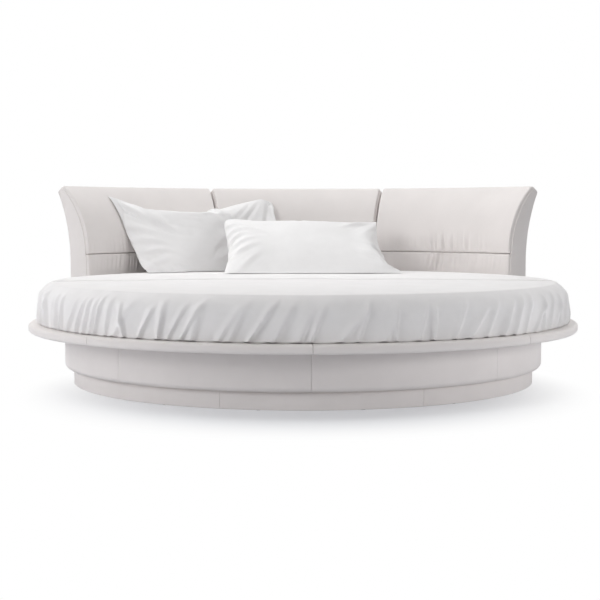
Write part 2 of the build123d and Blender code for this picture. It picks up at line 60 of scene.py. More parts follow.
# %% [markdown]
# ## Sizes read from the frame
# The ring, drum and plinth are circles about the upright axis, and the foot of the bed lies on -Y.
# The outermost point of the panel at the foot is therefore the circle's radius.

# %% Sizes of the base
ring_low, ring_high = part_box("ring_segment_1")
drum_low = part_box("drum_panel_1")[0]
plinth_low, plinth_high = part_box("plinth_panel_8")
mattress_low, mattress_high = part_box("mattress_core")
sheet_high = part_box("fitted_sheet")[1]
ring_radius = -ring_low[1]
drum_radius = -drum_low[1]
plinth_radius = -plinth_low[1]
mattress_radius = mattress_high[0]
ledge_bottom = ring_low[2]
ledge_top = ring_high[2]
panel_count = 8
panel_angle = math.tau / panel_count
foot_angle = -math.tau / 4
print("ring", ring_radius, "drum", drum_radius, "plinth", plinth_radius, "mattress", mattress_radius)

# %% [markdown]
# ## Colours and node helpers
# Shaders work in linear light, but a colour given as a hex value is in sRGB. One function turns
# one into the other. One small function adds a node with its settings and links, so that each
# material reads as a list of what it is made of.

# %% Colour and node helpers
white = (1.0, 1.0, 1.0, 1.0)


def linear(hex_colour):
    """A hex sRGB colour as a linear RGBA tuple."""
    channels = [int(hex_colour[i : i + 2], 16) / 255 for i in (1, 3, 5)]
    return (*[c / 12.92 if c <= 0.04045 else ((c + 0.055) / 1.055) ** 2.4 for c in channels], 1.0)


def wire(tree, node, links):
    """Links inputs of a node, each from a socket or from the first output of another node."""
    for key, source in links.items():
        socket = source.outputs[0] if isinstance(source, bpy.types.Node) else source
        tree.links.new(socket, node.inputs[key])


def add(tree, kind, settings=None, links=None):
    """Adds a shader node, sets its sockets, attributes or colour stops, and links its inputs."""
    node = tree.nodes.new("ShaderNode" + kind)
    for key, value in (settings or {}).items():
        if key == "stops":
            for element, (position, colour) in zip(node.color_ramp.elements, value):
                element.position = position
                element.color = linear(colour)
        elif key in node.inputs:
            node.inputs[key].default_value = value
        else:
            setattr(node, key, value)
    wire(tree, node, links or {})
    return node


def material(name, surface):
    """A material with its node tree, its Principled shader and its object coordinates."""
    made = bpy.data.materials.new(name)
    made.use_nodes = True
    tree = made.node_tree
    shader = tree.nodes["Principled BSDF"]
    for key, value in surface.items():
        shader.inputs[key].default_value = value
    return made, tree, shader, add(tree, "TexCoord").outputs["Object"]


# %% [markdown]
# ## Upholstery leather
# Corrected-grain cowhide is dyed right through, embossed with a small pebble and given a satin
# coat. The eye sees a warm white, a soft broad highlight and, close up, the pebble. A real pebble
# is about 1 mm, too fine for a bed seen whole, so it is drawn at 2.5 mm and kept shallow. Slow
# changes of tone and gloss stop a large white surface from looking like paint.

# %% Leather
pebble_size = 2.5 * mm
hide_crease_size = 14 * mm
hide_cloud_size = 160 * mm


def leather(name, light, dark):
    made, tree, shader, place = material(
        name, {"IOR": 1.48, "Specular IOR Level": 0.4, "Coat Weight": 0.06, "Coat Roughness": 0.35}
    )
    clouds = {"Scale": 1 / hide_cloud_size, "Detail": 3.0, "Roughness": 0.55}
    cloud = add(tree, "TexNoise", clouds, {"Vector": place})
    cells = {"Scale": 1 / pebble_size, "feature": "SMOOTH_F1", "Smoothness": 0.6}
    pebbles = add(tree, "TexVoronoi", cells, {"Vector": place})
    lines = {"Scale": 1 / hide_crease_size, "Detail": 4.0, "Roughness": 0.6, "Distortion": 0.5}
    creases = add(tree, "TexNoise", lines, {"Vector": place})
    tone = add(tree, "ValToRGB", {"stops": [(0.3, dark), (0.7, light)]}, {"Fac": cloud})
    spread = {"From Min": 0.3, "From Max": 0.7, "To Min": 0.4, "To Max": 0.54}
    gloss = add(tree, "MapRange", spread, {"Value": creases})
    soft = add(tree, "Bump", {"Strength": 0.25, "Distance": 1.2 * mm}, {"Height": creases})
    grain = add(tree, "Bump", {"Strength": 0.28, "Distance": 0.5 * mm}, {"Height": pebbles, "Normal": soft})
    wire(tree, shader, {"Base Color": tone, "Roughness": gloss, "Normal": grain})
    return made


white_leather = leather("white_upholstery_leather", "#EAE5E3", "#E6E1DF")

# %% [markdown]
# ## Cotton and knit
# Sheets and pillowcases are plain-weave cotton: matt, slightly fuzzy at grazing angles, and a
# cooler white than the leather. Threads are about 0.3 mm apart, so the weave is drawn at 1.6 mm
# to show at all. The mattress cover is a thicker jersey with a coarser texture of 4 mm. A wave
# texture of scale 1 has about 3.2 bands in a unit of length, so the scale is worked out from that.

# %% Cloth
thread_spacing = 1.6 * mm
jersey_spacing = 4 * mm
cloth_cloud_size = 90 * mm
bands_per_unit = 3.2


def woven(name, colour, shade, thread, rib=0.3):
    made, tree, shader, place = material(
        name, {"Roughness": 0.9, "Specular IOR Level": 0.2, "Sheen Weight": 0.25, "Sheen Roughness": 0.5}
    )
    bands = {"Scale": 1 / thread / bands_per_unit, "Distortion": 0.6, "Detail": 1.0}
    along_x, along_y, along_z = (
        add(tree, "TexWave", bands | {"bands_direction": axis}, {"Vector": place}).outputs["Fac"]
        for axis in ("X", "Y", "Z")
    )
    crossed = add(tree, "Math", {"operation": "MULTIPLY"}, {0: along_x, 1: along_y})
    weave = add(tree, "Math", {"operation": "ADD"}, {0: crossed, 1: along_z})
    clouds = {"Scale": 1 / cloth_cloud_size, "Detail": 4.0, "Roughness": 0.6}
    cloud = add(tree, "TexNoise", clouds, {"Vector": place})
    tone = add(tree, "ValToRGB", {"stops": [(0.3, shade), (0.65, colour)]}, {"Fac": cloud})
    slack = add(tree, "Bump", {"Strength": 0.2, "Distance": 3 * mm}, {"Height": cloud})
    bump = add(tree, "Bump", {"Strength": rib, "Distance": 0.2 * mm}, {"Height": weave, "Normal": slack})
    wire(tree, shader, {"Base Color": tone, "Normal": bump})
    return made


sheet_cotton = woven("white_cotton_sheet", "#F3F1F1", "#EEECEC", thread_spacing)
pillow_cotton = woven("white_cotton_pillowcase", "#F4F3F3", "#F0EFEF", thread_spacing)
mattress_knit = woven("mattress_jersey", "#E8E7E3", "#DFDED9", jersey_spacing, rib=0.5)

# %% [markdown]
# ## Timber, steel and plastic inside the base
# The hidden frame is what it would be in a workshop: birch plywood, planed pine, lacquered beech
# slats, zinc-plated steel and dark moulded plastic. Wood grain is a noise stretched along the
# piece. Zinc plate has a faint spangle, and moulded plastic has a fine spark-eroded texture.

# %% Timber
ply_thickness = 1.4 * mm


def timber(name, light, dark, ring_width, stretch, roughness):
    made, tree, shader, place = material(name, {"Roughness": roughness, "Specular IOR Level": 0.35})
    along = add(tree, "Mapping", {"Scale": stretch}, {"Vector": place})
    rings = {"Scale": 1 / ring_width, "Detail": 6.0, "Roughness": 0.62, "Distortion": 0.8}
    grain = add(tree, "TexNoise", rings, {"Vector": along})
    pores = add(tree, "TexNoise", {"Scale": 6 / ring_width, "Detail": 3.0}, {"Vector": along})
    tone = add(tree, "ValToRGB", {"stops": [(0.3, dark), (0.62, light)]}, {"Fac": grain})
    bump = add(tree, "Bump", {"Strength": 0.3, "Distance": 0.3 * mm}, {"Height": pores})
    wire(tree, shader, {"Base Color": tone, "Normal": bump})
    return made


flat_grain = (0.35, 0.35, 1 * mm / ply_thickness)
birch_plywood = timber("birch_plywood", "#D9BE93", "#B8925F", 9 * mm, flat_grain, 0.6)
pine_timber = timber("planed_pine", "#E0BF86", "#BD8C50", 12 * mm, (0.12, 0.12, 1.0), 0.55)
beech_slat = timber("lacquered_beech", "#DDB98C", "#BE925F", 6 * mm, (0.1, 1.0, 1.0), 0.38)

# %% Steel and plastic
spangle_size = 7 * mm
zinc_grit = 2 * mm
spark_size = 1.2 * mm


def zinc_plate():
    made, tree, shader, place = material("zinc_plated_steel", {"Roughness": 0.38, "Metallic": 1.0})
    spangle = add(tree, "TexVoronoi", {"Scale": 1 / spangle_size}, {"Vector": place}).outputs["Color"]
    fine = add(tree, "TexNoise", {"Scale": 1 / zinc_grit, "Detail": 3.0}, {"Vector": place})
    tone = add(tree, "ValToRGB", {"stops": [(0.2, "#B7BABD"), (0.8, "#CACCCE")]}, {"Fac": spangle})
    bump = add(tree, "Bump", {"Strength": 0.2, "Distance": 0.1 * mm}, {"Height": fine})
    wire(tree, shader, {"Base Color": tone, "Normal": bump})
    return made


def moulded_plastic():
    made, tree, shader, place = material("moulded_polypropylene", {"Roughness": 0.55, "IOR": 1.49})
    spark = add(tree, "TexNoise", {"Scale": 1 / spark_size, "Detail": 4.0}, {"Vector": place})
    tone = add(tree, "ValToRGB", {"stops": [(0.3, "#2B2C2E"), (0.7, "#333437")]}, {"Fac": spark})
    bump = add(tree, "Bump", {"Strength": 0.35, "Distance": 0.15 * mm}, {"Height": spark})
    wire(tree, shader, {"Base Color": tone, "Normal": bump})
    return made


slot_finish = {
    "birch_plywood": birch_plywood,
    "pine_timber": pine_timber,
    "beech_slat": beech_slat,
    "zinc_steel": zinc_plate(),
    "dark_plastic": moulded_plastic(),
}
for part_row in frame["record"]["subparts"]:
    finish = slot_finish.get(part_row["material_slot"])
    if finish:
        for slot in frame["nodes"][part_row["node"]].material_slots:
            slot.material = finish
print("finishes inside the base", sorted(slot_finish))

# %% [markdown]
# ## Camera
# The photograph is taken from a little left of the middle, just above mattress height. The places
# of the ledge's ends and of the seams on the drum fix the distance, height and focal length.

# %% Camera
camera_distance = 5.596
camera_height = 0.6925
camera_azimuth = math.radians(1.67)
camera_pitch = math.radians(3.68)
focal_length = 78.75


def placed(name, data):
    """A new object in the scene."""
    made = bpy.data.objects.new(name, data)
    bpy.context.collection.objects.link(made)
    return made


camera = placed("camera", bpy.data.cameras.new("camera"))
camera.location = (
    -camera_distance * math.sin(camera_azimuth),
    -camera_distance * math.cos(camera_azimuth),
    camera_height,
)
camera.rotation_euler = (math.tau / 4 - camera_pitch, 0, -camera_azimuth)
camera.data.sensor_width = 36
camera.data.lens = focal_length
camera.data.shift_x = -0.0053
bpy.context.scene.camera = camera
bpy.context.scene.view_settings.view_transform = "Standard"
print("camera", tuple(round(c, 3) for c in camera.location))

# %% [markdown]
# ## Studio
# A white cove gives a little soft light from all sides. The main softbox hangs overhead, with a
# weaker one high behind and one low in front. A softbox on each side, a little behind the middle,
# brightens the ends of the round base and leaves its front in half shade. One at the left front
# reaches the right section of the headboard, and two with a narrow beam lift that section's lower
# pad and the right end of the base. Near the bed the floor is lit in truth, which keeps its shadow,
# but a share of painted white glow lightens that shadow. Further out, past an oval set forward of
# the bed, the floor turns to plain white.

# %% World and lights
room_light = 0.08
world = bpy.data.worlds.new("studio")
world.use_nodes = True
bpy.context.scene.world = world
world_tree = world.node_tree
world_tree.nodes.clear()
rays = add(world_tree, "LightPath").outputs
sharp_rays = {0: rays["Is Camera Ray"], 1: rays["Is Glossy Ray"]}
seen = add(world_tree, "Math", {"operation": "MAXIMUM"}, sharp_rays)
seen_through = add(world_tree, "Math", {"operation": "MAXIMUM"}, {0: seen, 1: rays["Is Transmission Ray"]})
strength = add(world_tree, "MapRange", {"To Min": room_light, "To Max": 1.0}, {"Value": seen_through})
room = add(world_tree, "Background", {"Color": white}, {"Strength": strength})
add(world_tree, "OutputWorld", links={"Surface": room})


def softbox(name, place, aim, size, radiance, spread=180):
    """A square area lamp that looks at a point, given by how bright its face is."""
    lamp = bpy.data.lights.new(name, "AREA")
    lamp.shape = "SQUARE"
    lamp.size = size
    lamp.spread = math.radians(spread)
    lamp.energy = radiance * math.pi * size * size
    box = placed(name, lamp)
    box.location = place
    box.rotation_euler = (Vector(aim) - Vector(place)).to_track_quat("-Z", "Y").to_euler()
    box.visible_camera = False
    box.visible_glossy = False


softbox("overhead_softbox", (-0.4, 0.9, 3.6), (0.0, 0.0, 0.0), 5.0, 1.56)
softbox("back_softbox", (0.0, 3.2, 3.4), (0.0, 0.0, 0.3), 3.0, 0.6)
softbox("front_softbox", (-0.5, -5.5, 1.6), (0.0, 0.6, 0.6), 2.2, 0.35)
softbox("left_softbox", (-4.6, 0.6, 1.3), (0.0, 0.0, 0.4), 2.4, 2.1)
softbox("right_softbox", (4.5, 1.4, 0.9), (0.0, 0.0, 0.3), 2.2, 3.3)
softbox("left_front_softbox", (-3.6, -3.4, 2.0), (0.3, 0.6, 0.5), 2.8, 2.15)
softbox("base_spot", (3.4, -2.8, 1.0), (0.6, -0.8, 0.1), 1.2, 0.9, 50)
softbox("headboard_spot", (-3.3, -2.4, 2.4), (0.85, 0.8, 0.45), 2.6, 0.19, 40)

# %% Floor
floor_size = 60.0
shadow_forward = 0.35
shadow_narrowing = 1.1
shadow_reach = 0.7
white_reach = 1.27
# Share of white glow painted over the floor's shadow next to the bed, which lightens the shade there.
painted_shadow_glow = 0.22


def meshed(name, form):
    """A mesh from a bmesh, which is then freed."""
    mesh = bpy.data.meshes.new(name)
    form.to_mesh(mesh)
    form.free()
    return mesh


floor_form = bmesh.new()
bmesh.ops.create_grid(floor_form, x_segments=1, y_segments=1, size=floor_size / 2)
floor = placed("floor", meshed("floor", floor_form))
floor_finish = bpy.data.materials.new("white_floor")
floor_finish.use_nodes = True
floor_tree = floor_finish.node_tree
floor_tree.nodes.clear()
floor_place = add(floor_tree, "TexCoord").outputs["Object"]
floor_oval = {"Location": (0.0, shadow_forward, 0.0), "Scale": (shadow_narrowing, 1.0, 1.0)}
floor_centre = add(floor_tree, "Mapping", floor_oval, {"Vector": floor_place})
distance = add(floor_tree, "VectorMath", {"operation": "LENGTH"}, {0: floor_centre}).outputs["Value"]
# Next to the bed a share of this white glow is painted over the true shadow and lightens it; beyond the
# oval it is the plain white backdrop.
edge = {"From Min": shadow_reach, "From Max": white_reach, "To Min": painted_shadow_glow}
fade = add(floor_tree, "MapRange", edge | {"interpolation_type": "SMOOTHSTEP"}, {"Value": distance})
camera_ray = add(floor_tree, "LightPath").outputs["Is Camera Ray"]
seen_fade = add(floor_tree, "Math", {"operation": "MULTIPLY"}, {0: fade, 1: camera_ray})
lit = add(floor_tree, "BsdfDiffuse", {"Color": linear("#F1F3F8")})
glow = add(floor_tree, "Emission", {"Color": white, "Strength": 1.0})
floor_surface = add(floor_tree, "MixShader", links={0: seen_fade, 1: lit, 2: glow})
add(floor_tree, "OutputMaterial", links={"Surface": floor_surface})
floor.data.materials.append(floor_finish)

# %% [markdown]
# ## From a bmesh to a piece
# Every piece is a bmesh shaped by operators and then turned into an object that stays at the
# origin, with its place in its mesh. It rides on a body of the frame and may stand for a node of
# the engineering model. Most pieces of a round bed start the same way: an outline in radius and
# height, with its corners bevelled, is spun round the upright axis.

# %% Piece helpers
end_steps = 5
upright = {"cent": (0, 0, 0), "axis": (0, 0, 1), "dvec": (0, 0, 0)}


def piece(name, form, finish, body="root", replaces=()):
    """Turns a bmesh into a smooth-shaded piece that rides on a body."""
    mesh = meshed(name, form)
    for polygon in mesh.polygons:
        polygon.use_smooth = True
    mesh.materials.append(finish)
    made = placed(name, mesh)
    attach(made, body)
    if replaces:
        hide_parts(*replaces)
    return made


def ripple(*place):
    """Smooth noise between about -1 and 1, read at a place."""
    return noise.noise(Vector(place))


def soften(form, parts, length, steps, affect):
    """Rounds the given corners or edges by a length."""
    kept = {"profile": 0.5, "material": -1}
    bmesh.ops.bevel(form, geom=parts, offset=length, segments=steps, affect=affect, **kept)


def turn_about_axis(form, angle):
    matrix = Matrix.Rotation(angle, 3, "Z")
    bmesh.ops.rotate(form, verts=form.verts, cent=(0, 0, 0), matrix=matrix)


def push_out(form, amount):
    """Moves every point along its normal, by what a function gives for that point."""
    form.normal_update()
    moves = [vert.normal * amount(vert) for vert in form.verts]
    for vert, move in zip(form.verts, moves):
        vert.co += move


def outline(corners, rounds, steps=6):
    """A closed face in the XZ plane, with each corner rounded by its own length."""
    form = bmesh.new()
    verts = [form.verts.new((x, 0, z)) for x, z in corners]
    form.faces.new(verts)
    for vert, length in zip(verts, rounds):
        if length:
            soften(form, [vert], length, steps, "VERTICES")
    return form


def bent(form, start, angle, steps, end_round):
    """Sweeps an outline round the axis, drawing its two ends in to a round."""
    bmesh.ops.delete(form, geom=form.faces[:], context="FACES_ONLY")
    turn_about_axis(form, start)
    radius = max(math.hypot(v.co.x, v.co.y) for v in form.verts)
    end_angle = end_round / radius
    row = form.verts[:] + form.edges[:]
    for turn, count in ((end_angle, end_steps), (angle - 2 * end_angle, steps), (end_angle, end_steps)):
        row = bmesh.ops.spin(form, geom=row, angle=turn, steps=count, **upright)["geom_last"]
    bmesh.ops.recalc_face_normals(form, faces=form.faces)

    def drawn_in(vert):
        turn = (math.atan2(vert.co.y, vert.co.x) - start + math.pi / 2) % math.tau - math.pi / 2
        inside = max(0.0, min(turn, angle - turn)) * radius
        reach = min(end_round, max(0.0, end_round - inside))
        return math.sqrt(end_round**2 - reach**2) - end_round

    push_out(form, drawn_in)
    bmesh.ops.holes_fill(form, edges=[e for e in form.edges if e.is_boundary])
    bmesh.ops.recalc_face_normals(form, faces=form.faces)
    return form


# %% [markdown]
# ## Plinth, drum and ring
# Leather is stretched over each bent board and stapled behind, so its edges are soft and two
# boards meet in a tight V. The outline is drawn once in radius and height, its corners are
# bevelled, and a spin of one eighth of a turn makes the board.

# %% Base panels
plinth_seam_turn = math.radians(25.25)
panel_steps = 60
ring_width = 250 * mm
drum_wall = 30 * mm
plinth_wall = 24 * mm
plinth_lift = 1 * mm
board_gap = 0.3 * mm
hidden_round = 3 * mm


def clad_panels(kind, outside, wall, low, high, rounds, turn, seam, end_round):
    """Eight clad boards of one kind, each standing for its node.

    The rounds are those of the lower and the upper outer edge.
    """
    inside = outside - wall
    corners = [(inside, low), (outside, low), (outside, high), (inside, high)]
    half_seam = seam / 2 / outside
    for index in range(panel_count):
        start = foot_angle + turn + index * panel_angle + half_seam
        section = outline(corners, [hidden_round, *rounds, hidden_round])
        form = bent(section, start, panel_angle - 2 * half_seam, panel_steps, end_round)
        node = f"{kind}_{index + 1}"
        piece(f"clad_{node}", form, white_leather, replaces=[node])


clad_panels(
    "ring_segment",
    outside=ring_radius,
    wall=ring_width,
    low=ledge_bottom,
    high=ledge_top,
    rounds=(12 * mm, 12 * mm),
    turn=0,
    seam=1.2 * mm,
    end_round=2.5 * mm,
)
clad_panels(
    "drum_panel",
    outside=drum_radius,
    wall=drum_wall,
    low=drum_low[2],
    high=ledge_bottom - board_gap,
    rounds=(20 * mm, 3 * mm),
    turn=0,
    seam=0.5 * mm,
    end_round=1.2 * mm,
)
clad_panels(
    "plinth_panel",
    outside=plinth_radius,
    wall=plinth_wall,
    low=plinth_lift,
    high=plinth_high[2] - board_gap,
    rounds=(1.5 * mm, 3 * mm),
    turn=plinth_seam_turn,
    seam=0.6 * mm,
    end_round=1.5 * mm,
)
print("base panels", 3 * panel_count)

# %% [markdown]
# ## The headboard's side view
# Seen from its end, a section stands straight up to elbow height and then flares back on a large
# arc. The front bows towards the bed, rolls over the top and drops to a seam on the back. These
# are the same arcs as in the engineering model, so the dressed pads and backs fit its pieces.

# %% Headboard outline
headboard_depth = 100 * mm
core_face_depth = 32 * mm
back_radius = ring_radius + headboard_depth
flare_start = 480 * mm
flare_radius = 787 * mm
section_top = 832 * mm
section_bottom = 10 * mm
crest_depth = 33 * mm
crest_drop = 30 * mm
crest_swell = 10 * mm
front_bow = 36 * mm
tuck_height = 512 * mm
pad_swell = 5 * mm


def back_line(depth, height):
    """Radius of the back at a height, a depth in from its outside."""
    if height <= flare_start:
        return back_radius - depth
    rise = height - flare_start
    return back_radius + flare_radius - math.sqrt((flare_radius + depth) ** 2 - rise**2)


def arc(first, middle, last, steps):
    """Points of the circle through three points, from the first to the last."""
    (ax, az), (bx, bz), (cx, cz) = first, middle, last
    divisor = 2 * (ax * (bz - cz) + bx * (cz - az) + cx * (az - bz))
    a_square, b_square, c_square = ax * ax + az * az, bx * bx + bz * bz, cx * cx + cz * cz
    centre_x = (a_square * (bz - cz) + b_square * (cz - az) + c_square * (az - bz)) / divisor
    centre_z = (a_square * (cx - bx) + b_square * (ax - cx) + c_square * (bx - ax)) / divisor
    radius = math.hypot(ax - centre_x, az - centre_z)
    start = math.atan2(az - centre_z, ax - centre_x)
    turn = (math.atan2(cz - centre_z, cx - centre_x) - start + math.pi) % math.tau - math.pi
    angles = [start + turn * i / steps for i in range(steps + 1)]
    return [(centre_x + radius * math.cos(t), centre_z + radius * math.sin(t)) for t in angles]


def levels(high, low, count):
    """Evenly spaced heights, from a high one down to a low one."""
    return [high - i * (high - low) / count for i in range(count + 1)]


back_seam = (back_line(0, section_top - crest_drop), section_top - crest_drop)
crest_front = (back_seam[0] - crest_depth, section_top)
crest_span = math.hypot(crest_depth, crest_drop)
crest_middle = (
    (back_seam[0] + crest_front[0]) / 2 + crest_drop / crest_span * crest_swell,
    (back_seam[1] + crest_front[1]) / 2 + crest_depth / crest_span * crest_swell,
)


def front_arc(proud, low, steps):
    """The upper front from a low point up to the crest."""
    foot = (ring_radius - proud, low)
    run = (crest_front[0] - foot[0], crest_front[1] - foot[1])
    span = math.hypot(*run)
    bow = front_bow + proud
    middle = (
        (crest_front[0] + foot[0]) / 2 - run[1] / span * bow,
        (crest_front[1] + foot[1]) / 2 + run[0] / span * bow,
    )
    return arc(foot, middle, crest_front, steps)


def back_arc(steps):
    """The flare of the back, from where it starts up to the seam."""
    middle = (flare_start + back_seam[1]) / 2
    return arc((back_radius, flare_start), (back_line(0, middle), middle), back_seam, steps)


print("back seam", back_seam, "crest", crest_front)

# %% [markdown]
# ## Headboard backs
# The back is one bent, leather-clad board, closed at each end by a flat cheek. The cheek's front
# edge stops short of the pads, whose cover turns round the corner and is sewn to it there. Each
# cheek is a flat outline that is extruded by its thickness and softened with a bevel.

# %% Headboard backs
section_angle = math.radians(40)
section_gap = 7 * mm
section_sides = ("right", "centre", "left")
half_gap = section_gap / 2 / ring_radius
section_corner = 16 * mm
lower_pad_low = ledge_top + 6 * mm
back_wall = 14 * mm
back_steps = 72
back_end_round = 2.5 * mm
board_foot_round = 3 * mm
cheek_wall = 12 * mm
cheek_setback = 11 * mm
cheek_edge_round = 2.5 * mm
cheek_notch = 12 * mm
sharp_angle = math.radians(60)


def section_start(index):
    return -foot_angle + section_angle * (index - 1.5)


def corner_drop(form, index):
    """Rounds a section's two upper corners, as seen from the bed."""
    start = section_start(index)
    fade_low = section_top - 2 * section_corner
    for vert in form.verts:
        radius = math.hypot(vert.co.x, vert.co.y)
        turn = math.atan2(vert.co.y, vert.co.x) - start
        inside = min(turn, section_angle - turn) * radius - section_gap / 2
        if inside >= section_corner or vert.co.z <= fade_low:
            continue
        reach = section_corner - max(inside, 0.0)
        drop = section_corner - math.sqrt(section_corner**2 - reach**2)
        share = (vert.co.z - fade_low) / (section_top - fade_low)
        vert.co.z -= drop * share * share * (3 - 2 * share)


def cheek_points():
    """The cheek's outline, from its lower back corner round to its lower front corner."""
    low_front = ring_radius - pad_swell + cheek_setback
    board_front = back_radius - core_face_depth
    front = [(x + cheek_setback, z - cheek_setback * 0.5) for x, z in front_arc(0, tuck_height, 20)]
    top = arc(back_seam, crest_middle, crest_front, 8)[1:-1]
    top_end = crest_front[0] + cheek_setback + 4 * mm
    points = [(back_radius, section_bottom)] + back_arc(16)
    points += [(x - 1 * mm, z - 3 * mm) for x, z in top if x > top_end]
    points += front[::-1]
    points += [(low_front, tuck_height - cheek_notch), (low_front, lower_pad_low)]
    return points + [(board_front, lower_pad_low), (board_front, section_bottom)]


def cheek(angle, side):
    """A flat end panel that lies against the upright plane at an angle."""
    form = outline(cheek_points(), [])
    grown = bmesh.ops.extrude_face_region(form, geom=form.faces[:])
    moved = [g for g in grown["geom"] if isinstance(g, bmesh.types.BMVert)]
    bmesh.ops.translate(form, verts=moved, vec=(0, side * cheek_wall, 0))
    bmesh.ops.recalc_face_normals(form, faces=form.faces)
    sharp = [e for e in form.edges if len(e.link_faces) == 2 and e.calc_face_angle() > sharp_angle]
    soften(form, sharp, cheek_edge_round, 3, "EDGES")
    bmesh.ops.translate(form, verts=form.verts, vec=(0, side * section_gap / 2, 0))
    turn_about_axis(form, angle)
    return form


def joined(forms):
    """One bmesh from several closed ones."""
    whole = bmesh.new()
    for form in forms:
        holder = meshed("holder", form)
        whole.from_mesh(holder)
        bpy.data.meshes.remove(holder)
    return whole


def back_board_points():
    inner = [(back_line(back_wall, z), z) for z in levels(back_seam[1], flare_start, 12)]
    foot = [(back_radius - back_wall, section_bottom)]
    return [(back_radius, section_bottom)] + back_arc(24) + inner + foot


for index, side in enumerate(section_sides):
    start = section_start(index)
    points = back_board_points()
    rounds = [board_foot_round] + [0] * (len(points) - 2) + [board_foot_round]
    angle = section_angle - 2 * half_gap
    board = bent(outline(points, rounds), start + half_gap, angle, back_steps, back_end_round)
    form = joined([board, cheek(start, 1), cheek(start + section_angle, -1)])
    corner_drop(form, index)
    piece(f"headboard_back_{side}", form, white_leather, replaces=[f"headboard_shell_{side}"])
print("headboard backs", len(section_sides))

# %% [markdown]
# ## Headboard pads
# Each front is foam under leather in two pads, drawn together in a deep horizontal tuck. The pad
# swells in the middle and rounds over at its ends. Half way along, the tuck gathers the leather
# into short, nearly upright puckers that die away within a hand's breadth. The outline is spun,
# then every point is pushed along its normal by the swell and the puckers.

# %% Headboard pads
pad_steps = 190
pad_corner_steps = 5
pad_end_round = 9 * mm
pad_crown = 4 * mm
pad_end_fade = 60 * mm
lower_bow = 5 * mm
seam_depth = 3.5 * mm
tuck_gap = 1 * mm
pucker_reach = 42 * mm
pucker_depth = 22 * mm
pucker_spread = 120 * mm
pucker_slant = 0.12
fine_pucker = 12 * mm
broad_pucker = 40 * mm
pucker_patch = 170 * mm
dent_depth = 1.2 * mm
dent_length = 280 * mm
dent_height = 220 * mm


def upper_pad_points():
    front = front_arc(pad_swell, tuck_height + tuck_gap, 40)
    crest = arc(crest_front, crest_middle, back_seam, 10)[1:]
    inner_top = back_seam[1] - 2 * mm
    inner = [(back_line(core_face_depth, z), z) for z in levels(inner_top, tuck_height, 8)[:-1]]
    return front + crest + inner + [(back_line(core_face_depth, tuck_height), tuck_height + tuck_gap)]


def lower_pad_points():
    face = ring_radius - pad_swell
    high = tuck_height - tuck_gap
    middle = (face - lower_bow, (lower_pad_low + high) / 2)
    back = back_radius - core_face_depth
    return arc((face, lower_pad_low), middle, (face, high), 26) + [(back, high), (back, lower_pad_low)]


def pucker(along, seed):
    """How far the gathered leather stands in or out at a place along the tuck."""
    fine = ripple(along / fine_pucker, seed, 0.3)
    broad = ripple(along / broad_pucker, seed, 7.1)
    strength = 0.35 + 0.65 * max(0.0, ripple(along / pucker_patch, seed, 3.7) + 0.35)
    return strength * (fine + 0.6 * broad)


def swell(form, index, seed, above):
    """Crowns a pad between its ends and gathers it at the tuck."""
    start = section_start(index)

    def amount(vert):
        radius = math.hypot(vert.co.x, vert.co.y)
        turn = math.atan2(vert.co.y, vert.co.x) - start
        along = turn * radius
        inside = min(turn, section_angle - turn) * radius
        shown = max(0.0, -(vert.normal.x * vert.co.x + vert.normal.y * vert.co.y) / radius)
        crown = pad_crown * (1 - math.exp(-inside / pad_end_fade) - 0.6)
        rise = (vert.co.z - tuck_height) if above else (tuck_height - vert.co.z)
        middle = section_angle * radius / 2
        gather = math.exp(-(((rise - 0.9 * pucker_reach) / pucker_reach) ** 2))
        gather *= 0.15 + math.exp(-(((along - middle) / pucker_spread) ** 2))
        puckers = pucker_depth * gather * pucker(along - pucker_slant * rise, seed)
        dents = dent_depth * ripple(along / dent_length, vert.co.z / dent_height, seed)
        return shown * (crown + puckers + dents)

    push_out(form, amount)


def pad(level, index, points, rounds, seed):
    """One pad, from its outline and the rounds of some of its corners."""
    lengths = [0.0] * len(points)
    for corner, length in rounds.items():
        lengths[corner] = length
    start = section_start(index) + half_gap + seam_depth / ring_radius
    angle = section_angle - 2 * (half_gap + seam_depth / ring_radius)
    form = bent(outline(points, lengths, pad_corner_steps), start, angle, pad_steps, pad_end_round)
    above = level == "upper"
    swell(form, index, seed, above)
    if above:
        corner_drop(form, index)
    side = section_sides[index]
    made = piece(f"headboard_{level}_{side}", form, white_leather, replaces=[f"{level}_pad_{side}"])


for index in range(len(section_sides)):
    pad("upper", index, upper_pad_points(), {0: 7 * mm, -1: 2 * mm}, 11.0 + index)
    pad("lower", index, lower_pad_points(), {0: 5 * mm, -3: 8 * mm}, 31.0 + index)
print("headboard pads", 2 * len(section_sides))

# %% [markdown]
# ## Mattress
# Under the sheet is a round foam mattress in a jersey cover with a piped edge at the top and
# bottom. It is a lathe shape. Its outline is spun over one twelfth of a turn, and that sector is
# repeated all round, which is much quicker than one long spin. Then the seams and the pole are
# merged shut.

# %% Mattress
sheet_gap = 4 * mm
edge_radius = mattress_radius - 42 * mm
edge_height = 418 * mm
piping = 5 * mm
bead_rise = 1 * mm
flank_middle = 375 * mm
flank_foot = 325 * mm
lathe_sectors = 12
mattress_steps = 180


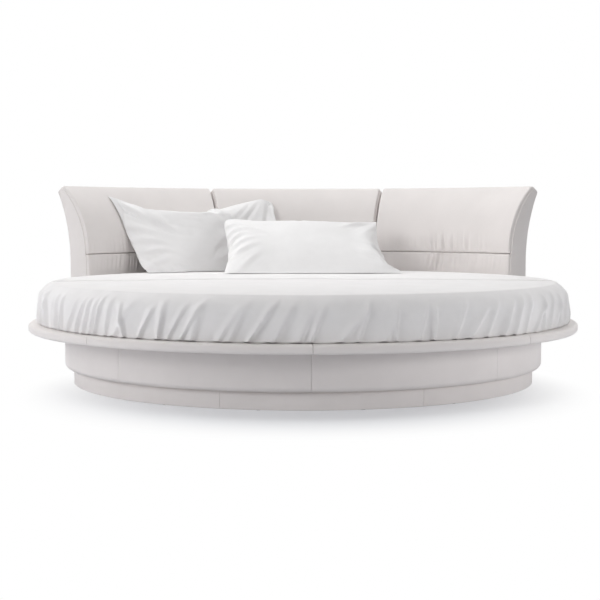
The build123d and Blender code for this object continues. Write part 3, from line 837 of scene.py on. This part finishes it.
def lathe(points, steps):
    """Spins an outline that starts on the axis over one sector, and repeats that all round."""
    form = bmesh.new()
    verts = [form.verts.new((x, 0, z)) for x, z in points]
    for a, b in zip(verts, verts[1:]):
        form.edges.new((a, b))
    sector = math.tau / lathe_sectors
    row = form.verts[:] + form.edges[:]
    bmesh.ops.spin(form, geom=row, angle=sector, steps=steps // lathe_sectors, **upright)
    whole = form.verts[:] + form.edges[:] + form.faces[:]
    rest = {"angle": math.tau - sector, "steps": lathe_sectors - 1, "use_duplicate": True}
    bmesh.ops.spin(form, geom=whole, **rest, **upright)
    bmesh.ops.remove_doubles(form, verts=form.verts, dist=0.02 * mm)
    bmesh.ops.recalc_face_normals(form, faces=form.faces)
    return form


def bed_top(radius):
    """Height of the sheet over the mattress's crown."""
    fall = (sheet_high[2] - edge_height) * (radius / edge_radius) ** 2
    return sheet_high[2] - fall


def crown_points(rings, drop):
    """The crown from the axis out to just short of the edge, a drop below the sheet."""
    return [(r, bed_top(r) - drop) for r in [edge_radius * i / rings for i in range(rings)]]


def mattress_points():
    under = mattress_low[2]
    side = mattress_radius - sheet_gap
    seat = edge_height - sheet_gap
    bead_top = arc(
        (edge_radius - 2 * piping, seat - bead_rise),
        (edge_radius - piping, seat + bead_rise),
        (edge_radius, seat - 3 * bead_rise),
        5,
    )
    flank_top = (edge_radius + 4 * mm, edge_height - 14 * mm)
    flank = arc(flank_top, (side - 4 * mm, flank_middle), (side, flank_foot), 8)
    bead_low = arc(
        (side, under + 16 * mm),
        (side + 2 * mm, under + 10 * mm),
        (side - 2 * mm, under + 4 * mm),
        4,
    )
    bottom = [(side - 12 * mm, under), (0.0, under)]
    return crown_points(12, sheet_gap) + bead_top + flank + bead_low + bottom


mattress_form = lathe(mattress_points(), mattress_steps)
mattress = piece("mattress", mattress_form, mattress_knit, "mattress", ["mattress_core"])

# %% [markdown]
# ## Fitted sheet
# The sheet is one round of cotton, cut wide enough to turn under the mattress, and an elastic in
# its hem gathers the spare cloth into folds down the side. A gathered fold is a narrow ridge that
# leans a little, is deepest at the hem and fades below the mattress's edge, with a wide flat
# valley between it and the next. The sheet starts as a lathe shape, and a seeded list of such
# ridges pushes its side outwards and lifts its hem. Two widths of cloth meet in a felled seam
# across the top.

# %% Sheet outline
fold_low = ledge_top + 1 * mm
sheet_steps = 1440
crown_rings = 26
shoulder_height = 388 * mm
skirt_height = 340 * mm


def sheet_points():
    edge = arc(
        (edge_radius - 2 * mm, edge_height + 0.2 * mm),
        (edge_radius + 1.5 * mm, edge_height - 0.5 * mm),
        (edge_radius + 5 * mm, edge_height - 2.4 * mm),
        5,
    )
    flank = arc(
        (edge_radius + 8.5 * mm, edge_height - 4.8 * mm),
        (mattress_radius - 7.5 * mm, shoulder_height),
        (mattress_radius + 3.5 * mm, skirt_height),
        10,
    )
    skirt = [(mattress_radius + 4 * mm, z) for z in levels(skirt_height, fold_low, 13)[1:]]
    hem = [(mattress_radius + 1 * mm, fold_low + 0.4 * mm), (mattress_radius - 3 * mm, fold_low + 2.5 * mm)]
    return crown_points(crown_rings, 0.0) + edge + flank + skirt + hem


# %% Folds down the side
sector_total = 90
steep_side = 0.6
gentle_side = 1.35
random.seed(7)


def ridges():
    """A seeded list of gathered folds: where, how wide, how high, how far up and how slanted."""
    made = []
    angle = 0.0
    while angle < math.tau:
        front = math.cos(angle - foot_angle)
        calm = max(0.0, front) ** 3
        width = random.uniform(7, 12) * mm * (1 + 1.4 * calm * random.random())
        height = random.uniform(11, 23) * mm * (1 + 0.05 * calm)
        reach = random.uniform(0.7, 1.25)
        slant = random.gauss(0.3 + 0.2 * calm, 0.25)
        made.append((angle, width, height, reach, slant))
        angle += random.uniform(28, 76) * mm * (1 + 0.35 * calm) / mattress_radius
    return made


fold_ridges = ridges()
sectors = [[] for _ in range(sector_total)]
for ridge in fold_ridges:
    for step in (-2, -1, 0, 1, 2):
        sectors[(int(ridge[0] / math.tau * sector_total) + step) % sector_total].append(ridge)


def fold_push(angle, down, radius):
    """How far the folds push the sheet out at an angle and a share of the way down its side."""
    push = 0.0
    for where, width, height, reach, slant in sectors[int(angle / math.tau * sector_total) % sector_total]:
        middle = where + (1 - down) * (edge_height - fold_low) * slant / radius
        gap = ((angle - middle + math.pi) % math.tau - math.pi) * radius
        spread = width * (0.75 + 0.7 * (1 - down)) * (steep_side if gap > 0 else gentle_side)
        if abs(gap) > 3 * spread:
            continue
        lift = max(0.0, (down - (1 - reach)) / reach)
        tucked = 1 - 0.3 * max(0.0, down - 0.8) / 0.2
        push += height * tucked * lift**0.6 * min(1.0, down * 5) * math.exp(-((gap / spread) ** 2))
    return push


# %% Folding the sheet
crumple_depth = 1.8 * mm
crumple_length = 200 * mm
crumple_width = 90 * mm
crumple_fade = 150 * mm
wave_depth = 4 * mm
wave_length = 90 * mm
wave_height = 120 * mm
crinkle_depth = 2.2 * mm
crinkle_length = 35 * mm
crinkle_height = 110 * mm
side_start = 0.05
hem_start = 0.9
hem_lift = 4 * mm


def crumple(x, y):
    """How far the cloth on top stands up where it has been smoothed by hand."""
    return crumple_depth * ripple(x / crumple_length, y / crumple_width, 5.3)


def fold_sheet(form):
    """Crumples the top of the sheet a little, and pushes the folds out of its side."""
    for vert in form.verts:
        radius = math.hypot(vert.co.x, vert.co.y)
        down = min((edge_height - vert.co.z) / (edge_height - fold_low), 1.0)
        if radius < edge_radius:
            vert.co.z += crumple(vert.co.x, vert.co.y) * min(1.0, (edge_radius - radius) / crumple_fade)
        elif down >= side_start:
            angle = math.atan2(vert.co.y, vert.co.x)
            push = fold_push(angle, down, radius)
            wave = ripple(vert.co.x / wave_length, vert.co.y / wave_length, vert.co.z / wave_height)
            drift = angle * radius - vert.co.z * 0.5
            crinkle = ripple(drift / crinkle_length, vert.co.z / crinkle_height, 2.7)
            soft = (wave_depth * wave + crinkle_depth * crinkle) * min(1.0, down * 2)
            grown = (radius + push + soft) / radius
            vert.co.x *= grown
            vert.co.y *= grown
            if down > hem_start:
                vert.co.z += (down - hem_start) * 10 * min(0.55 * push, hem_lift)


# %% Seam and sheet
seam_place = -120 * mm
seam_width = 18 * mm
seam_rise = 4 * mm
seam_end = 12 * mm
seam_sink = 0.6 * mm
seam_wander = 2 * mm


def felled_seam():
    """A narrow raised seam that joins two widths of cloth straight across the top."""
    form = bmesh.new()
    half_length = math.sqrt(edge_radius**2 - seam_place**2) - seam_end
    bmesh.ops.create_grid(form, x_segments=200, y_segments=10, size=0.5)
    bmesh.ops.scale(form, verts=form.verts, vec=(2 * half_length, seam_width, 1))
    for vert in form.verts:
        share = vert.co.y / seam_width + 0.5
        rise = seam_rise * math.sin(math.pi * share**0.45) - seam_sink
        vert.co.y += seam_place + seam_wander * ripple(vert.co.x / crumple_length, 3.1, 0.0)
        top = bed_top(math.hypot(vert.co.x, vert.co.y))
        vert.co.z = top + rise + crumple(vert.co.x, vert.co.y)
    return form


sheet_form = lathe(sheet_points(), sheet_steps)
fold_sheet(sheet_form)
sheet_form = joined([sheet_form, felled_seam()])
sheet = piece("gathered_sheet", sheet_form, sheet_cotton, "mattress", ["fitted_sheet"])

# %% [markdown]
# ## Pillows
# A pillow is a loose cotton case over a soft fill. The case starts as two flat layers sewn round
# the edge, without slack along its foot and with some slack towards the ends of its top. A cloth
# simulation fills it to the volume of the fill while its corners and its foot stay where the
# pillow leans or lies. That gives the crown, the pointed ears and the sagging top edge. The open
# end has no fill in it, so it stays a thin flap.

# %% Pillowcase pattern
pillow_cell = 9 * mm
start_thickness = 20 * mm
flap_length = 60 * mm
flap_fade = 50 * mm
open_hollow = 35 * mm
slack_height = 160 * mm
corner_hold = 16 * mm
foot_hold = 6 * mm
foot_ends = 0.12
end_share = 0.45
end_slack = 0.9


def pillow_place(position, turn, lean):
    """The frame of a pillow: its middle, its turn about the upright and its lean."""
    spin = Matrix.Rotation(math.radians(turn), 4, "Z")
    return Matrix.Translation(position) @ spin @ Matrix.Rotation(math.radians(lean), 4, "X")


def flat_case(corners, open_end, ear):
    """Two layers of cloth on the four corners, sewn together round the edge.

    The open end is cut hollow. One upper corner is rounded by the ear's radius, and a negative ear
    means the left one.
    """
    low_left, low_right, high_right, high_left = corners
    form = bmesh.new()
    along = round((high_right - high_left).length / pillow_cell)
    across = round((high_left - low_left).length / pillow_cell)
    bmesh.ops.create_grid(form, x_segments=along, y_segments=across, size=0.5)
    for vert in form.verts:
        u, v = vert.co.x + 0.5, vert.co.y + 0.5
        place = low_left.lerp(low_right, u).lerp(high_left.lerp(high_right, u), v)
        rise = start_thickness * math.sqrt(max(0.0, 16 * u * (1 - u) * v * (1 - v)))
        end = u if open_end > 0 else 1 - u
        place.x -= open_end * open_hollow * 4 * v * (1 - v) * end**3
        under = high_left.lerp(high_right, u).y - place.y
        if under < abs(ear):
            near = u if ear > 0 else 1 - u
            bite = abs(ear) - math.sqrt(ear**2 - (abs(ear) - under) ** 2)
            place.x -= math.copysign(bite * near**3, ear)
        vert.co = (place.x, place.y, rise)
    copy = bmesh.ops.duplicate(form, geom=form.verts[:] + form.edges[:] + form.faces[:])
    lower = [g for g in copy["geom"] if isinstance(g, bmesh.types.BMVert)]
    bmesh.ops.scale(form, verts=lower, vec=(1, 1, -1))
    bmesh.ops.remove_doubles(form, verts=form.verts, dist=0.1 * mm)
    bmesh.ops.recalc_face_normals(form, faces=form.faces)
    if form.calc_volume(signed=True) < 0:
        bmesh.ops.reverse_faces(form, faces=form.faces)
    return form


def weigh(cloth, corners, open_end, middle_slack, ear):
    """Says which points are held, which are filled and which are cut without slack."""
    low_left, low_right, high_right, high_left = corners
    filled, held, taut = (cloth.vertex_groups.new(name=name) for name in ("filled", "held", "taut"))
    edge = (low_right, high_right) if open_end > 0 else (low_left, high_left)
    side = (edge[1] - edge[0]).normalized()
    sharp, round_corner = (high_left, high_right) if ear > 0 else (high_right, high_left)
    spots = [low_left, low_right, sharp]
    spots += [round_corner - Vector((ear, 0, 0)), round_corner - Vector((ear * 0.04, abs(ear) * 0.8, 0))]
    for vert in cloth.data.vertices:
        flat = Vector((vert.co.x, vert.co.y, 0))
        u = (flat.x - low_left.x) / (low_right.x - low_left.x)
        rise = flat.y - low_left.lerp(low_right, u).y
        away = (flat - edge[0]) - side * (flat - edge[0]).dot(side)
        fill = (away.length - flap_length) / flap_fade
        filled.add([vert.index], min(1.0, max(0.0, fill)), "REPLACE")
        ends = max(0.0, abs(u - 0.5) * 2 - end_share) / (1 - end_share)
        level = min(1.0, max(0.0, rise / slack_height))
        taut.add([vert.index], 1 - level * (middle_slack + (end_slack - middle_slack) * ends), "REPLACE")
        if min((flat - spot).length for spot in spots) < corner_hold:
            held.add([vert.index], 1.0, "REPLACE")
        if foot_ends < u < 1 - foot_ends and rise < foot_hold:
            held.add([vert.index], 1.0, "REPLACE")


# %% [markdown]
# ## Creases
# Where a case is pulled round its fill near an end, it folds into short soft creases that point at
# the corner or at the open end. Each is a low ridge beside a shallow groove, drawn in the pillow's
# own plane on its upper side only.

# %% Pillow creases
crease_height = 15 * mm
upper_side = 0.15


def crease(form, marks):
    """Raises a ridge and sinks a groove along each mark on the upper side of a case.

    A mark is the place of its middle, its direction in degrees, its length and its width, in mm.
    """

    def amount(vert):
        rise = 0.0
        if vert.normal.z > upper_side:
            for x, y, angle, length, width in marks:
                dx, dy = vert.co.x - x * mm, vert.co.y - y * mm
                cosine, sine = math.cos(math.radians(angle)), math.sin(math.radians(angle))
                along = (dx * cosine + dy * sine) / (length * mm / 2)
                across = (dy * cosine - dx * sine) / (width * mm / 2)
                if abs(along) < 2 and abs(across) < 3:
                    rise += math.exp(-(along**2)) * (across + 0.35) * math.exp(-(across**2))
        return rise * crease_height

    push_out(form, amount)


# %% [markdown]
# ## Filling a pillowcase
# The fill is a pressure inside the case that aims at a volume. A negative shrink makes the cloth
# grow, which is its slack. Gravity is turned into the pillow's own frame, and only a small share
# of it acts, because the fill carries most of the cloth. One light smoothing afterwards takes out
# the marks of the grid, and the creases are drawn last.

# %% Filling a pillowcase
settle_frames = 26
weight_share = 0.15
case_cloth = {
    "quality": 6,
    "mass": 0.05,
    "tension_stiffness": 15,
    "compression_stiffness": 8,
    "shear_stiffness": 3,
    "bending_stiffness": 0.05,
    "tension_damping": 3,
    "compression_damping": 3,
    "shear_damping": 3,
    "vertex_group_mass": "held",
    "vertex_group_shrink": "taut",
    "vertex_group_pressure": "filled",
    "shrink_min": -0.11,
    "shrink_max": 0.0,
    "use_pressure": True,
    "uniform_pressure_force": 0,
    "use_pressure_volume": True,
    "pressure_factor": 30,
}


def filled_case(name, place, corners, open_end, middle_slack, ear, volume, marks):
    """Fills one pillowcase by a cloth simulation, and returns its form."""
    form = flat_case(corners, open_end, ear)
    cloth = placed(name, meshed(name, form))
    weigh(cloth, corners, open_end, middle_slack, ear)
    modifier = cloth.modifiers.new("cloth", "CLOTH")
    for key, value in case_cloth.items():
        setattr(modifier.settings, key, value)
    modifier.settings.target_volume = volume
    modifier.settings.effector_weights.gravity = weight_share
    modifier.point_cache.frame_end = settle_frames
    scene = bpy.context.scene
    scene.gravity = place.to_3x3().inverted() @ Vector((0, 0, -9.81))
    for step in range(1, settle_frames + 1):
        scene.frame_set(step)
    graph = bpy.context.evaluated_depsgraph_get()
    settled = bpy.data.meshes.new_from_object(cloth.evaluated_get(graph))
    form = bmesh.new()
    form.from_mesh(settled)
    bpy.data.objects.remove(cloth)
    bpy.data.meshes.remove(settled)
    scene.frame_set(1)
    all_ways = {"use_axis_x": True, "use_axis_y": True, "use_axis_z": True}
    bmesh.ops.smooth_vert(form, verts=form.verts, factor=0.3, **all_ways)
    crease(form, marks)
    form.transform(place)
    return form


# %% [markdown]
# ## Pillows at rest
# The filled cases are soft, so where one meets the headboard or the bed it flattens against it.
# Every point that would lie inside is moved back to the surface, which presses the case flat there.

# %% Pillows on the bed
pad_line = [(ring_radius - pad_swell, ledge_top), (ring_radius - pad_swell - 3 * mm, tuck_height)]
pad_line += front_arc(pad_swell + 4 * mm, tuck_height, 24)[1:]
bed_clearance = 2.5 * mm
pad_clearance = 4 * mm


def pad_face(height):
    """Radius of the pads' face at a height."""
    for (low_radius, low), (high_radius, high) in zip(pad_line, pad_line[1:]):
        if height <= high:
            return low_radius + (high_radius - low_radius) * max(0.0, height - low) / (high - low)
    return pad_line[-1][0]


def pressed(form):
    """Flattens a pillow where it meets the headboard and the bed."""
    for vert in form.verts:
        radius = math.hypot(vert.co.x, vert.co.y)
        face = pad_face(vert.co.z) - pad_clearance
        if radius > face:
            vert.co.x *= face / radius
            vert.co.y *= face / radius
            radius = face
        if radius < edge_radius:
            vert.co.z = max(vert.co.z, bed_top(radius) + bed_clearance)
    return form


def pillow(name, body, place, corners, **filling):
    """One pillow from its corners, in mm in its own plane, and from how its case is filled."""
    flat = [Vector((x * mm, y * mm, 0)) for x, y in corners]
    form = pressed(filled_case(name, place, flat, **filling))
    print(name, "volume", round(form.calc_volume(), 4))
    made = piece(name, form, pillow_cotton, body, [f"{body}_case", f"{body}_fill"])
    smooth = made.modifiers.new("smooth", "SUBSURF")
    smooth.levels = 1
    smooth.render_levels = 1


pillow(
    "left_pillow",
    "back_pillow",
    pillow_place((-490 * mm, 893 * mm, 616 * mm), turn=25, lean=52),
    [(-318, -255), (400, -255), (465, 205), (-440, 222)],
    open_end=-1,
    middle_slack=0.3,
    ear=55 * mm,
    volume=0.024,
    marks=[
        (-300, 60, -38, 150, 32),
        (-285, 0, -30, 170, 36),
        (-270, -60, -22, 150, 34),
        (-250, -120, -12, 130, 32),
        (-235, -180, 8, 120, 34),
        (-190, 20, -42, 110, 30),
        (120, 90, -58, 170, 36),
        (180, 30, -66, 150, 34),
        (70, 130, -48, 120, 32),
        (-330, 120, -50, 130, 30),
    ],
)
pillow(
    "right_pillow",
    "front_pillow",
    pillow_place((24 * mm, 665 * mm, 540 * mm), turn=4, lean=30),
    [(-400, -255), (465, -255), (385, 244), (-372, 276)],
    open_end=1,
    middle_slack=0.08,
    ear=-45 * mm,
    volume=0.033,
    marks=[
        (-330, 150, -28, 120, 32),
        (-320, 80, -12, 130, 30),
        (-325, 20, 6, 120, 32),
        (-315, -50, 20, 130, 30),
        (-300, -120, 34, 140, 34),
        (-270, -190, 46, 130, 32),
        (-245, 60, -34, 110, 30),
        (260, 160, 38, 130, 32),
        (300, -150, -30, 140, 34),
        (330, -60, -14, 110, 30),
    ],
)
